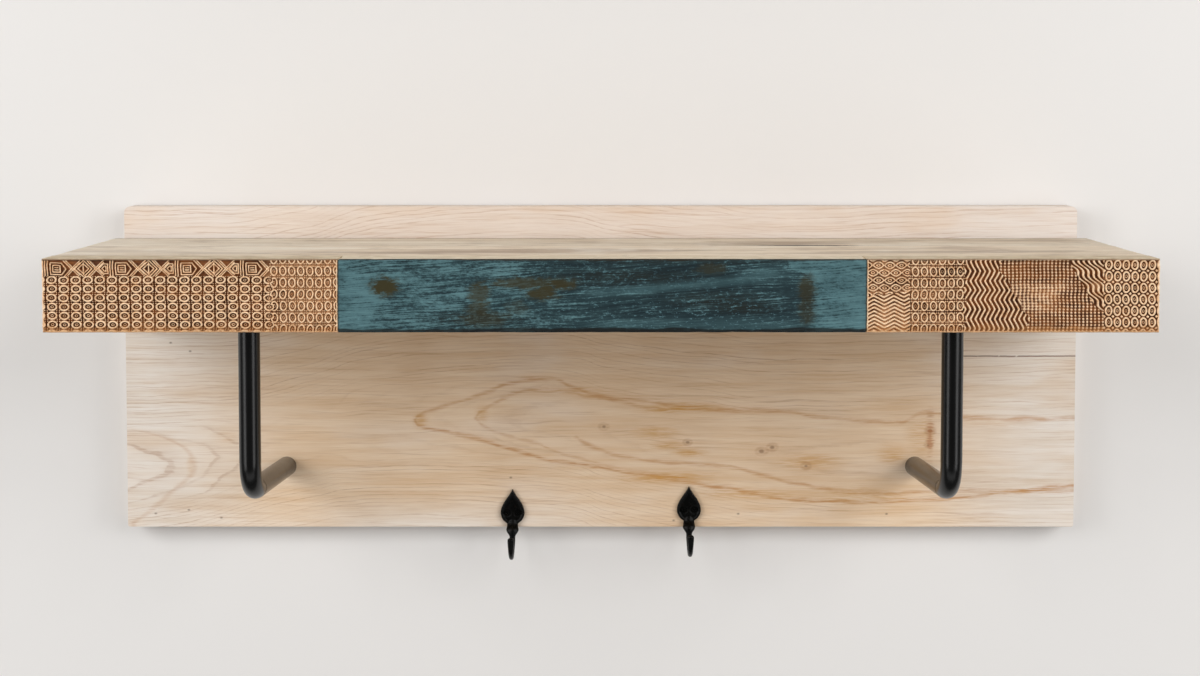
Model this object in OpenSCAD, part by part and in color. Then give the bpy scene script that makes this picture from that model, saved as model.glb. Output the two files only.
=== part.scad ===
// Wall shelf with two bent-bar brackets and two small cast hooks.
// X runs along the shelf, the wall is the plane y = 0 and the shelf stands out towards -Y.
// The origin is on the wall, midway between the two hanger keyholes. All sizes are in mm.

/* [Shelf] */
// Length of the shelf
shelf_w = 800; // [700:10:960]
// Depth of the shelf in front of the back board
shelf_d = 200; // [166:2:240]
// Thickness of the shelf
shelf_t = 53; // [43:1:62]
// Depth of the stave that touches the back board
rear_stave_d = 80; // [64:1:96]
// Front-to-back thickness of the three edge blocks
block_d = 28; // [22:1:34]
// Length of the painted block in the middle of the front edge
painted_block_w = 379; // [310:1:450]
// How far the painted block sits to the right of the middle
painted_block_shift = 1; // [0:0.5:6]
// Rounding of the painted block's upright corners
painted_corner_r = 3; // [2:0.5:5]
// Rounding of the carved blocks' upright corners
carved_corner_r = 1.6; // [1:0.2:3]

/* [Carving] */
// Depth of the carving
carve_depth = 2.2; // [1.6:0.1:3]
// Plain rim above and below the carved field
carve_rim = 1.5; // [1:0.1:2.5]
// Plain rim at the ends of a carved block
carve_end_rim = 2.4; // [2:0.1:4]
// Width of a raised ridge
ridge_w = 1.3; // [1:0.05:1.7]
// Height of the geometric border along the top of the left block
border_h = 11.8; // [9.5:0.1:14]
// Length of one repeat of the geometric border
border_pitch = 46; // [38:0.2:56]
// Across-pitch of the lying rings
lying_ring_w = 8.6; // [7.4:0.1:10.6]
// Up-pitch of the lying rings
lying_ring_h = 6.5; // [5.4:0.1:7.8]
// Across-pitch of the standing rings
standing_ring_w = 6.4; // [5.4:0.1:7.8]
// Up-pitch of the standing rings
standing_ring_h = 8.3; // [7:0.1:10]
// Pitch of the upright zigzag lines
zigzag_pitch = 3.5; // [3:0.1:4.4]
// Height of half a zigzag
zigzag_rise = 6.8; // [5.6:0.1:8.2]
// Sideways swing of a zigzag
zigzag_swing = 3.2; // [2.6:0.1:4]
// Pitch of the lying waves
wave_pitch = 3.6; // [3:0.1:4.4]
// Pitch of the square mesh
mesh_pitch = 5.2; // [4.6:0.1:6.4]

/* [Back board] */
// Length of the back board
board_w = 784; // [680:2:940]
// Height of the back board
board_h = 266; // [220:2:320]
// Thickness of the back board
board_t = 20; // [17:1:25]
// How far the back board rises above the shelf
board_rise = 26; // [20:1:32]
// Rounding of the back board's top corners
board_top_r = 5; // [3:0.5:8]
// Rounding of the back board's bottom corners
board_bottom_r = 1.5; // [1:0.5:3]

/* [Brackets] */
// Diameter of the round bar
rod_d = 16; // [13:0.5:20]
// Distance between the two brackets
bracket_span = 520; // [430:2:620]
// Distance of the upright's axis behind the shelf's front edge
bracket_setback = 42; // [36:1:60]
// Length from the shelf's underside to the corner of the bar's axis
bracket_drop = 124; // [104:1:150]
// Bend radius of the bar's axis
bend_r = 24; // [19:1:30]
// How many degrees the lower leg falls towards the board
bracket_rake = 4.5; // [0:0.5:6]

/* [Hooks] */
// Distance between the two hooks
hook_span = 146; // [120:1:180]
// How much lower the left hook is screwed on than the right one
hook_unevenness = 2.4; // [0:0.2:4]
// Height of a hook's point above its bead
hook_rise = 33.4; // [28:0.2:40]
// Half width of the leaf-shaped plate
leaf_r = 9.9; // [8.4:0.1:11.8]
// Height of the widest part of the leaf above the bead
leaf_level = 13.2; // [11:0.1:15.8]
// Thickness of the leaf at its crown
leaf_t = 3.4; // [3:0.1:4]
// Half width of the neck below the leaf
neck_r = 4.3; // [3.6:0.1:5.2]
// Half width of the bead below the neck
bead_r = 5.2; // [4.4:0.1:6.2]
// Half width of the stem and of the tip
stem_r = 2.6; // [2.2:0.1:3.1]
// Radius of the crook's bend
crook_r = 14; // [11.6:0.2:16.8]
// Level of the centre of the crook's bend below the bead
crook_level = 5.2; // [4.4:0.1:6.4]
// How far the crook's stem stands off the board's face
stem_off = 6; // [5:0.1:7]
// Length of the straight tip beyond the bend
tip_length = 8.8; // [7.4:0.1:10.6]
// Outward lean of the tip, in degrees
tip_lean = 15; // [12:1:18]
// Distance between a hook's two screws
hook_screw_span = 8.5; // [8:0.1:9.4]

/* [Wall hangers] */
// Distance of a keyhole from the back board's end
hanger_inset = 92; // [76:1:110]
// Distance of the keyholes below the back board's top
hanger_level = 40; // [34:1:48]
// Width of a hanger plate
hanger_w = 18; // [16:0.5:21]
// Length of a hanger plate
hanger_l = 48; // [46:0.5:56]
// Thickness of a hanger plate
hanger_t = 1.8; // [1.5:0.1:2.2]
// Diameter of the keyhole's round entry
keyhole_d = 9; // [7.6:0.1:10.6]
// Width of the keyhole's slot
slot_w = 5; // [4.4:0.1:5.6]
// Height of the slot's end above the entry's centre
slot_rise = 9; // [7.6:0.1:10]
// Depth of the pocket for the wall screw's head
pocket_depth = 9; // [7.6:0.1:10.6]

/* [Fasteners] */
// Diameter of the screws that hold the shelf
shelf_screw_d = 5; // [4.2:0.1:6]
// Length of the screws that hold the shelf
shelf_screw_l = 75; // [64:1:82]
// Distance of the outer shelf screws from the end of the shorter board
shelf_screw_inset = 40; // [32:1:48]
// Diameter of the stud between bar and shelf
stud_d = 8; // [6.8:0.1:9.4]
// Length of the stud inside the bar
stud_in_rod = 24; // [20:1:28]
// Length of the stud inside the shelf
stud_in_shelf = 34; // [28:1:38]
// Diameter of the bolt between board and bar
bolt_d = 6; // [5:0.1:7]
// Length of the bolt inside the bar
bolt_in_rod = 22; // [18:1:26]
// Diameter of the hook screws
hook_screw_d = 2.6; // [2.2:0.1:3]
// Length of the hook screws
hook_screw_l = 16; // [14:0.5:19]
// Diameter of the hanger screws
hanger_screw_d = 3; // [2.6:0.1:3.6]
// Length of the hanger screws
hanger_screw_l = 14; // [12:0.5:16]
// Gap all round between a fastener and its hole
fit_gap = 0.08; // [0.05:0.01:0.12]

/* [Hidden] */
$fn = 48;
cut = 1;                                // how far a cutter runs past a face
head_ratio = 2;                         // a countersunk head's diameter over its screw's
seat_depth = 0.4;                       // how far a hidden head lies below the wood

board_top = hanger_level;
board_bottom = board_top - board_h;
board_face = -board_t;                  // y of the back board's front face
shelf_top = board_top - board_rise;
shelf_under = shelf_top - shelf_t;
shelf_front = board_face - shelf_d;
front_stave_d = shelf_d - rear_stave_d - block_d;
blocks_back = shelf_front + block_d;    // y of the back of the edge blocks
staves_joint = board_face - rear_stave_d;
painted_left = painted_block_shift - painted_block_w / 2;
painted_right = painted_block_shift + painted_block_w / 2;
left_patterns = [161, 46];              // widths of the patterns, stretched to fill the block
right_patterns = [30, 40, 39, 59, 39];

rod_r = rod_d / 2;
bracket_reach = shelf_d - bracket_setback;
upright_y = board_face - bracket_reach;
corner_z = shelf_under - bracket_drop;  // where the two axes of a bracket cross
bend_turn = 90 - bracket_rake;
bend_start = bend_r * tan(bend_turn / 2);
upright_l = bracket_drop - bend_start;
foot_z = corner_z - bracket_reach * tan(bracket_rake);
foot_l = bracket_reach / cos(bracket_rake) - bend_start;
bend_thinning = 0.1;                    // how much the bar draws in round the bend
bend_lap = 0.3;                         // how far the straight legs run into the bend
bolt_z = foot_z + bolt_in_rod / 2 * tan(bracket_rake);
bolt_l = board_t - seat_depth + bolt_in_rod;

hanger_x = board_w / 2 - hanger_inset;
pocket_w = keyhole_d + 2;
hanger_end_r = hanger_w / 2;
hanger_screw_level = hanger_l / 2 - hanger_end_r;
hanger_centre = slot_rise / 2;          // the plate's middle above the keyhole's entry
shelf_screw_z = shelf_top - shelf_t / 2;
shelf_screw_span = min(shelf_w, board_w) - 2 * shelf_screw_inset;
shelf_screw_x = [for (i = [0:3]) (i / 3 - 0.5) * shelf_screw_span];

// Shapes that several pieces share

// A screw along +Z with its countersunk head's face at z = 0
module screw_shape(d, length, grow = 0) {
    r = d / 2;
    head_r = r * head_ratio;
    rotate_extrude()
        polygon([
            [0, -grow], [head_r + grow, -grow], [head_r + grow, 0],
            [r + grow, head_r - r + grow], [r + grow, length - 2 * r + grow],
            [0, length + grow]
        ]);
}

// The same screw with a cross recess in its head
module cross_screw(d, length) {
    arm = d * 1.1;
    blade = d * 0.22;
    difference() {
        screw_shape(d, length);
        for (turn = [0, 90])
            rotate(turn)
                translate([-arm / 2, -blade / 2, -cut])
                    cube([arm, blade, cut + d * 0.4]);
    }
}

// Lays what points along +Z towards the front, away from the wall
module from_wall(x, y, z) {
    translate([x, y, z]) rotate([90, 0, 0]) children();
}

// Lays what points along +Z towards the wall
module from_front(x, y, z) {
    translate([x, y, z]) rotate([-90, 0, 0]) children();
}

// Extrudes an outline drawn in X and Z from y = back towards the front
module plate_from(back, thickness) {
    translate([0, back, 0]) rotate([90, 0, 0]) linear_extrude(thickness) children();
}

// A rectangle from x = 0 whose two front corners, at y = 0, are round
module block_outline(w, d, r) {
    translate([r, 0]) square([w - 2 * r, d]);
    translate([0, r]) square([w, d - r]);
    for (x = [r, w - r]) translate([x, r]) circle(r);
}

// Back board

module board_outline() {
    middle = board_w / 2;
    top_r = board_top_r;
    low_r = board_bottom_r;
    polygon([
        [low_r - middle, board_bottom], [middle - low_r, board_bottom],
        [middle, board_bottom + low_r], [middle, board_top - top_r],
        [middle - top_r, board_top], [top_r - middle, board_top],
        [-middle, board_top - top_r], [-middle, board_bottom + low_r]
    ]);
    for (side = [-1, 1]) {
        translate([side * (middle - top_r), board_top - top_r]) circle(top_r);
        translate([side * (middle - low_r), board_bottom + low_r]) circle(low_r);
    }
}

module hanger_outline(grow = 0) {
    r = hanger_end_r + grow;
    translate([-r, hanger_centre - hanger_screw_level])
        square([2 * r, 2 * hanger_screw_level]);
    for (side = [-1, 1])
        translate([0, hanger_centre + side * hanger_screw_level]) circle(r);
}

// The pocket behind a keyhole, round at both ends
module pocket_outline() {
    translate([-pocket_w / 2, 0]) square([pocket_w, slot_rise]);
    for (z = [0, slot_rise]) translate([0, z]) circle(d = pocket_w);
}

module hanger_recess(x) {
    translate([x, 0, 0]) {
        plate_from(cut, cut + hanger_t + fit_gap) hanger_outline(fit_gap);
        plate_from(cut, cut + pocket_depth) pocket_outline();
        for (side = [-1, 1])
            hanger_screw_place(side) screw_shape(hanger_screw_d, hanger_screw_l, fit_gap);
    }
}

module back_board() {
    color("#e4cfae")
    difference() {
        plate_from(0, board_t) board_outline();
        for (side = [-1, 1]) {
            hanger_recess(side * hanger_x);
            bolt_hole(side);
            for (screw_side = [-1, 1])
                hook_screw_place(side, screw_side)
                    screw_shape(hook_screw_d, hook_screw_l, fit_gap);
        }
        for (x = shelf_screw_x) shelf_screw_hole(x);
    }
}

// Shelf

module shelf_screw_hole(x) {
    from_wall(x, -seat_depth, shelf_screw_z) {
        screw_shape(shelf_screw_d, shelf_screw_l, fit_gap);
        translate([0, 0, -cut - seat_depth])
            cylinder(r = shelf_screw_d / 2 * head_ratio + fit_gap, h = cut + seat_depth);
    }
}

module rear_stave() {
    color("#b7a58a")
    difference() {
        translate([-shelf_w / 2, staves_joint, shelf_under])
            cube([shelf_w, rear_stave_d, shelf_t]);
        for (x = shelf_screw_x) shelf_screw_hole(x);
    }
}

module front_stave() {
    color("#cdbb9d")
    difference() {
        translate([-shelf_w / 2, blocks_back, shelf_under])
            cube([shelf_w, front_stave_d, shelf_t]);
        for (side = [-1, 1]) stud_hole(side);
    }
}

module painted_block() {
    color("#3d7486")
    translate([painted_left, shelf_front, shelf_under])
        linear_extrude(shelf_t) block_outline(painted_block_w, block_d, painted_corner_r);
}

// Carving. Every pattern is drawn in X and Z over a field and cut back from the front face.

// Places its outline in a grid of cells that fills a field from its lower left corner
module cells(w, h, pitch_x, pitch_z) {
    columns = max(1, floor(w / pitch_x));
    rows = max(1, floor(h / pitch_z));
    for (i = [0:columns - 1], j = [0:rows - 1])
        translate([(i + 0.5) * w / columns, (j + 0.5) * h / rows]) children();
}

// An eight-sided oval
module oval(w, h) {
    polygon([for (k = [0:7]) [w / 2 * cos(45 * k + 22.5), h / 2 * sin(45 * k + 22.5)]]);
}

module diamond(w, h) {
    polygon([[-w / 2, 0], [0, -h / 2], [w / 2, 0], [0, h / 2]]);
}

// The sunk middles of a field of rings, whose ridges stay raised
module rings(w, h, pitch_x, pitch_z) {
    cells(w, h, pitch_x, pitch_z) oval(pitch_x - ridge_w, pitch_z - ridge_w);
}

// The small pits where four rings meet
module ring_gaps(w, h, pitch_x, pitch_z) {
    columns = max(2, floor(w / pitch_x));
    rows = max(2, floor(h / pitch_z));
    for (i = [1:columns - 1], j = [1:rows - 1])
        translate([i * w / columns, j * h / rows]) diamond(pitch_x * 0.3, pitch_z * 0.3);
}

// The groove between two upright zigzag ridges
module zigzag_groove(h, pitch, rise, swing) {
    steps = max(1, floor(h / rise));
    half = (pitch - ridge_w) / 2;
    middle = [for (i = [0:steps]) [(i % 2 - 0.5) * swing, i * h / steps]];
    polygon(concat(
        [for (p = middle) p + [half, 0]],
        [for (i = [steps:-1:0]) middle[i] - [half, 0]]
    ));
}

module zigzags(w, h, pitch, rise, swing) {
    count = max(1, floor((w - swing) / pitch));
    first = (w - (count - 1) * pitch) / 2;
    for (i = [0:count - 1]) translate([first + i * pitch, 0]) zigzag_groove(h, pitch, rise, swing);
}

// One repeat of the border about its middle: a split diamond, a cross and a key on each side
module border_repeat(w, h) {
    half = h / 2;
    rim = ridge_w * 0.75;
    cross_x = half * 1.48;
    reach = half - 1.6 * rim;
    key_x = cross_x + 1.5 * rim;
    key_end = w / 2 - 1.6 * rim;
    for (side = [-1, 1]) scale([side, 1]) translate([0, half]) {
        polygon([[rim / 2, rim - half], [rim / 2, half - rim], [half - 1.2 * rim, 0]]);
        for (up = [-1, 1])
            polygon([
                [cross_x, up * rim], [cross_x - reach, up * (reach + rim)],
                [cross_x + reach, up * (reach + rim)]
            ]);
        difference() {
            key(key_x, key_end, reach);
            key(key_x + 1.6 * rim, key_end - rim, reach - rim);
        }
        key(key_x + 3.4 * rim, key_end - 2 * rim, reach - 2 * rim);
    }
}

// A bar whose inner end is pointed
module key(start, end, half) {
    polygon([[start, 0], [start + half, -half], [end, -half], [end, half], [start + half, half]]);
}

module border(w, h) {
    count = max(1, floor(w / border_pitch));
    for (i = [0:count - 1]) translate([(i + 0.5) * w / count, 0]) border_repeat(w / count, h);
}

// A block of the front edge with its pattern cut into the face
module carved_block(x, w) {
    translate([x, shelf_front, shelf_under])
        difference() {
            linear_extrude(shelf_t) block_outline(w, block_d, carved_corner_r);
            translate([carve_end_rim, 0, carve_rim])
                plate_from(carve_depth, carve_depth + cut) children();
        }
}

// Stretches a list of widths so that they fill a length
function fitted(widths, length) = let (total = widths * [for (w = widths) 1])
    [for (w = widths) w * length / total];

// Where each of a list of widths starts
function starts(widths) = [for (i = [0:len(widths) - 1])
    i == 0 ? 0 : [for (j = [0:i - 1]) widths[j]] * [for (j = [0:i - 1]) 1]];

module left_carved_block() {
    w = painted_left + shelf_w / 2;
    field_h = shelf_t - 2 * carve_rim;
    lying_h = field_h - border_h;
    fields = fitted(left_patterns, w - 2 * carve_end_rim);
    color("#a77a4f")
    carved_block(-shelf_w / 2, w) {
        rings(fields[0], lying_h, lying_ring_w, lying_ring_h);
        ring_gaps(fields[0], lying_h, lying_ring_w, lying_ring_h);
        translate([0, lying_h]) border(fields[0], border_h);
        translate([fields[0], 0]) rings(fields[1], field_h, standing_ring_w, standing_ring_h);
    }
}

module right_carved_block() {
    w = shelf_w / 2 - painted_right;
    field_h = shelf_t - 2 * carve_rim;
    fields = fitted(right_patterns, w - 2 * carve_end_rim);
    x = starts(fields);
    color("#a77a4f")
    carved_block(painted_right, w) {
        translate([0, field_h / 2])
            cells(fields[0], field_h / 2, standing_ring_h, standing_ring_w)
                diamond(standing_ring_h - ridge_w, standing_ring_w - ridge_w);
        translate([fields[0], 0])
            rotate(90) zigzags(field_h / 2, fields[0], wave_pitch, zigzag_rise, zigzag_swing);
        translate([x[1], 0]) rings(fields[1], field_h, standing_ring_w, standing_ring_h);
        translate([x[2], 0]) zigzags(fields[2], field_h, zigzag_pitch, zigzag_rise, zigzag_swing);
        translate([x[3], 0])
            cells(fields[3], field_h, mesh_pitch, mesh_pitch)
                square(mesh_pitch - 2 * ridge_w, center = true);
        translate([x[4], 0]) rings(fields[4], field_h, standing_ring_w, standing_ring_h);
    }
}

// Brackets

module stud_place(side) {
    translate([side * bracket_span / 2, upright_y, shelf_under]) children();
}

module stud_hole(side) {
    stud_place(side) translate([0, 0, -cut])
        cylinder(d = stud_d + 2 * fit_gap, h = stud_in_shelf + cut + fit_gap);
}

// Places a bolt that points from the wall through the board into a bracket's foot
module bolt_place(side) {
    from_wall(side * bracket_span / 2, -seat_depth, bolt_z) children();
}

module bolt_hole(side) {
    bolt_place(side) {
        screw_shape(bolt_d, bolt_l, fit_gap);
        translate([0, 0, -cut - seat_depth])
            cylinder(r = bolt_d / 2 * head_ratio + fit_gap, h = cut + seat_depth);
    }
}

// A round bar: down from the shelf, round the bend and back to the board
module bracket(side) {
    color("#1b1b1c")
    difference() {
        stud_place(side) {
            translate([0, 0, -upright_l - bend_lap])
                cylinder(r = rod_r, h = upright_l + bend_lap);
            translate([0, bend_r, -upright_l]) rotate([0, 90, 0]) rotate([0, 0, -90]) {
                rotate_extrude(angle = bend_turn)
                    translate([bend_r, 0]) circle(rod_r - bend_thinning);
                rotate([0, 0, bend_turn])
                    translate([bend_r, -bend_lap, 0])
                        rotate([-90, 0, 0]) cylinder(r = rod_r, h = foot_l + rod_r + bend_lap);
            }
        }
        translate([side * bracket_span / 2 - rod_d, board_face, foot_z - rod_d])
            cube([2 * rod_d, board_t, 2 * rod_d]);
        stud_place(side) translate([0, 0, -stud_in_rod - fit_gap])
            cylinder(d = stud_d + 2 * fit_gap, h = stud_in_rod + fit_gap + cut);
        bolt_hole(side);
    }
}

// Double-ended stud: machine thread in the bar, pointed wood thread in the shelf
module bracket_stud(side) {
    r = stud_d / 2;
    color("silver")
    stud_place(side)
        rotate_extrude()
            polygon([
                [0, -stud_in_rod], [r - 1, -stud_in_rod], [r, 1 - stud_in_rod],
                [r, stud_in_shelf - 2 * r], [0, stud_in_shelf]
            ]);
}

module bracket_bolt(side) {
    color("silver") bolt_place(side) cross_screw(bolt_d, bolt_l);
}

// Hooks

// Points of the leaf: a round lower half and a tip that draws in like an ogive
function leaf_points() = let (
    neck_angle = acos(neck_r / leaf_r),
    tip_h = hook_rise - leaf_level,
    steps = 6,
    right = concat(
        [for (i = [0:steps - 1]) let (a = -neck_angle * (1 - i / steps))
            [leaf_r * cos(a), leaf_r * sin(a)]],
        [for (i = [0:steps]) let (u = i / steps * 0.97)
            [leaf_r * pow(cos(90 * u), 1.4), tip_h * u]]
    )
) concat(right, [[0, tip_h]], [for (i = [len(right) - 1:-1:0]) [-right[i][0], right[i][1]]]);

// A leaf with a rounded crown, built as rings of the same outline that draw in as they rise
module leaf() {
    points = leaf_points();
    n = len(points);
    levels = [[0, 1], [0.5, 1], [0.8, 0.93], [0.95, 0.8], [1, 0.6]];
    last = len(levels) - 1;
    polyhedron(
        points = [for (level = levels, p = points)
            [p[0] * level[1], -leaf_t * level[0], p[1] * level[1]]],
        faces = concat(
            [[for (i = [0:n - 1]) i]],
            [for (k = [0:last - 1], i = [0:n - 1]) let (j = (i + 1) % n)
                [k * n + j, k * n + i, (k + 1) * n + i, (k + 1) * n + j]],
            [[for (i = [n - 1:-1:0]) last * n + i]]
        )
    );
}

// Rings of the stem, crook and tip: [distance from the board, height, lean, half width, half depth]
function arm_rings() = let (
    bend_y = stem_off + crook_r,
    bend_steps = 10,
    end_angle = 360 - tip_lean,
    end_y = bend_y + crook_r * cos(end_angle),
    end_z = crook_r * sin(end_angle) - crook_level,
    along = [sin(tip_lean), cos(tip_lean)]
) concat(
    [
        [leaf_t * 0.45, leaf_level * 0.75, 0, neck_r * 0.45, leaf_t * 0.3],
        [leaf_t * 0.7, leaf_level * 0.35, 0, neck_r, leaf_t * 0.6],
        [stem_off * 0.7, leaf_level * 0.1, 0, bead_r * 0.93, stem_r * 1.1],
        [stem_off * 0.8, -crook_level * 0.1, 0, bead_r, stem_r * 1.25],
        [stem_off * 0.93, -crook_level * 0.55, 0, bead_r * 0.8, stem_r * 1.15]
    ],
    [for (i = [0:bend_steps]) let (a = 180 + i / bend_steps * (end_angle - 180))
        [bend_y + crook_r * cos(a), crook_r * sin(a) - crook_level, a - 180,
         stem_r * (1 - 0.27 * sin(a - 180)), stem_r * 0.88]],
    [for (s = [[0.35, 1, 0.85], [0.75, 1.04, 0.8], [0.93, 0.85, 0.65], [1, 0.45, 0.35]])
        [end_y + along[0] * s[0] * tip_length, end_z + along[1] * s[0] * tip_length,
         end_angle - 180, s[1] * stem_r, s[2] * stem_r]]
);

// The arm: oval sections set across a path that lies in the plane through the hook
module hook_arm() {
    rings = arm_rings();
    sides = 12;
    last = len(rings) - 1;
    polyhedron(
        points = [for (r = rings, i = [0:sides - 1]) let (
            a = 360 * i / sides,
            across = r[4] * sin(a))
            [r[3] * cos(a), -(r[0] + across * cos(r[2])), r[1] + across * sin(r[2])]],
        faces = concat(
            [[for (i = [0:sides - 1]) i]],
            [for (k = [0:last - 1], i = [0:sides - 1]) let (j = (i + 1) % sides)
                [k * sides + j, k * sides + i, (k + 1) * sides + i, (k + 1) * sides + j]],
            [[for (i = [sides - 1:-1:0]) last * sides + i]]
        )
    );
}

// Places a hook's own frame: its bead lies at the board's lower edge
module hook_place(side) {
    translate([side * hook_span / 2, board_face, board_bottom + side * hook_unevenness / 2])
        children();
}

module hook_screw_place(side, screw_side) {
    hook_place(side)
        from_front(screw_side * hook_screw_span / 2, -leaf_t, leaf_level) children();
}

module hook(side) {
    color("#17181a")
    difference() {
        union() {
            hook_place(side) translate([0, 0, leaf_level]) leaf();
            hook_place(side) hook_arm();
        }
        for (screw_side = [-1, 1])
            hook_screw_place(side, screw_side) {
                screw_shape(hook_screw_d, hook_screw_l, fit_gap);
                translate([0, 0, -cut])
                    cylinder(r = hook_screw_d / 2 * head_ratio + fit_gap, h = cut);
            }
    }
}

module hook_screw(side, screw_side) {
    color("#17181a")
    hook_screw_place(side, screw_side) cross_screw(hook_screw_d, hook_screw_l);
}

// Shelf screws

module shelf_screw(i) {
    color("silver")
    from_wall(shelf_screw_x[i], -seat_depth, shelf_screw_z)
        cross_screw(shelf_screw_d, shelf_screw_l);
}

// Wall hangers

module hanger_screw_place(side) {
    from_wall(0, 0, hanger_centre + side * hanger_screw_level) children();
}

module hanger(side) {
    color("silver")
    translate([side * hanger_x, 0, 0])
        difference() {
            plate_from(0, hanger_t) hanger_outline();
            plate_from(cut, hanger_t + 2 * cut) {
                circle(d = keyhole_d);
                translate([-slot_w / 2, 0]) square([slot_w, slot_rise]);
                translate([0, slot_rise]) circle(d = slot_w);
            }
            for (end = [-1, 1])
                hanger_screw_place(end) screw_shape(hanger_screw_d, hanger_screw_l, fit_gap);
        }
}

module hanger_screw(side, end) {
    color("silver")
    translate([side * hanger_x, 0, 0])
        hanger_screw_place(end) cross_screw(hanger_screw_d, hanger_screw_l);
}

back_board();
rear_stave();
front_stave();
left_carved_block();
painted_block();
right_carved_block();
bracket(-1);  // left_bracket
bracket(1);  // right_bracket
bracket_stud(-1);  // left_bracket_stud
bracket_stud(1);  // right_bracket_stud
bracket_bolt(-1);  // left_bracket_bolt
bracket_bolt(1);  // right_bracket_bolt
hook(-1);  // left_hook
hook(1);  // right_hook
hook_screw(-1, -1);  // left_hook_screw_a
hook_screw(-1, 1);  // left_hook_screw_b
hook_screw(1, -1);  // right_hook_screw_a
hook_screw(1, 1);  // right_hook_screw_b
shelf_screw(0);  // shelf_screw_1
shelf_screw(1);  // shelf_screw_2
shelf_screw(2);  // shelf_screw_3
shelf_screw(3);  // shelf_screw_4
hanger(-1);  // left_hanger
hanger(1);  // right_hanger
hanger_screw(-1, 1);  // left_hanger_screw_top
hanger_screw(-1, -1);  // left_hanger_screw_bottom
hanger_screw(1, 1);  // right_hanger_screw_top
hanger_screw(1, -1);  // right_hanger_screw_bottom
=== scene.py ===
"""Looks of a wall shelf with hooks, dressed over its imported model.

The wall is the plane y = 0, the shelf stands out towards -Y and Z is up. Blender works in metres;
sizes of the pieces and of their grain are given in millimetres, and MM turns them into metres.
"""
import math

import bpy
import numpy as np
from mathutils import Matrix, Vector, noise


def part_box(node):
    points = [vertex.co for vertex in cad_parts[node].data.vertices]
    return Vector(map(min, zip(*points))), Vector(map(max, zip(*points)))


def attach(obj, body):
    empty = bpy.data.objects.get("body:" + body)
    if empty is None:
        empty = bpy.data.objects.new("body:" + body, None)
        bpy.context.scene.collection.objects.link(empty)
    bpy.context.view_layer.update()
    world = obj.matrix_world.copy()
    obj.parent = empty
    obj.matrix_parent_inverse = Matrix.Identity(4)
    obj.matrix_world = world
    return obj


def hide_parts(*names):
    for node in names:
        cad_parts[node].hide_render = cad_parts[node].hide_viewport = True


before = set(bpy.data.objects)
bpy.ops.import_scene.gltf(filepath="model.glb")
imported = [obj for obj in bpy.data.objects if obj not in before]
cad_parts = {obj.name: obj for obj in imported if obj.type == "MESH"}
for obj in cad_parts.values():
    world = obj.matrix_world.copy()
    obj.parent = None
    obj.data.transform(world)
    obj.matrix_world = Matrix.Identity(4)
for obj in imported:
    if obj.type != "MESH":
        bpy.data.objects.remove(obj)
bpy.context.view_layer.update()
MM = 0.001


# Back board. One wide plain-sawn plank of white pine, planed, brushed with a thin white wash and
# sanded back, so the grain shows through in faint tan lines. It lies flat on the wall.

def rgb(code):
    """A colour written as on a paint chart, as linear light."""
    parts = [int(code[i:i + 2], 16) / 255 for i in (1, 3, 5)]
    return [p / 12.92 if p <= 0.04045 else ((p + 0.055) / 1.055) ** 2.4 for p in parts] + [1.0]


class Term:
    """A number that varies over a surface. Arithmetic on it adds Math nodes to its finish."""

    def __init__(self, finish, socket):
        self.finish, self.socket = finish, socket

    def combine(self, operation, *others):
        return self.finish.math(operation, self, *others)

    def __add__(self, other):
        return self.combine("ADD", other)

    def __sub__(self, other):
        return self.combine("SUBTRACT", other)

    def __rsub__(self, other):
        return self.finish.math("SUBTRACT", other, self)

    def __mul__(self, other):
        return self.combine("MULTIPLY", other)

    def __truediv__(self, other):
        return self.combine("DIVIDE", other)

    def __pow__(self, other):
        return self.combine("POWER", other)

    def __abs__(self):
        return self.combine("ABSOLUTE")

    __radd__, __rmul__ = __add__, __mul__

    def fract(self):
        return self.combine("FRACT")

    def clamp(self):
        return self.finish.math("ADD", self, 0, clamp=True)

    def fade(self, start, end):
        """0 up to start, 1 from end on, smooth between; start above end runs the other way."""
        node = self.finish.add("ShaderNodeMapRange", interpolation_type="SMOOTHSTEP")
        self.finish.feed(node.inputs["Value"], self)
        node.inputs["From Min"].default_value = min(start, end)
        node.inputs["From Max"].default_value = max(start, end)
        node.inputs["To Min"].default_value = float(start > end)
        node.inputs["To Max"].default_value = float(start < end)
        return Term(self.finish, node.outputs["Result"])

    def curve(self, *points):
        """A smooth curve through (input, output) points, level beyond its ends."""
        low, high = points[0][0], points[-1][0]
        floor, top = min(p[1] for p in points), max(p[1] for p in points)
        node = self.finish.add("ShaderNodeFloatCurve")
        line = node.mapping.curves[0]
        for i, (at, value) in enumerate(points):
            spot = (at - low) / (high - low), (value - floor) / (top - floor)
            if i < 2:
                line.points[-i].location = spot
            else:
                line.points.new(*spot)
        node.mapping.update()
        self.finish.feed(node.inputs["Value"], ((self - low) / (high - low)).clamp())
        return Term(self.finish, node.outputs["Value"]) * (top - floor) + floor


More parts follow.
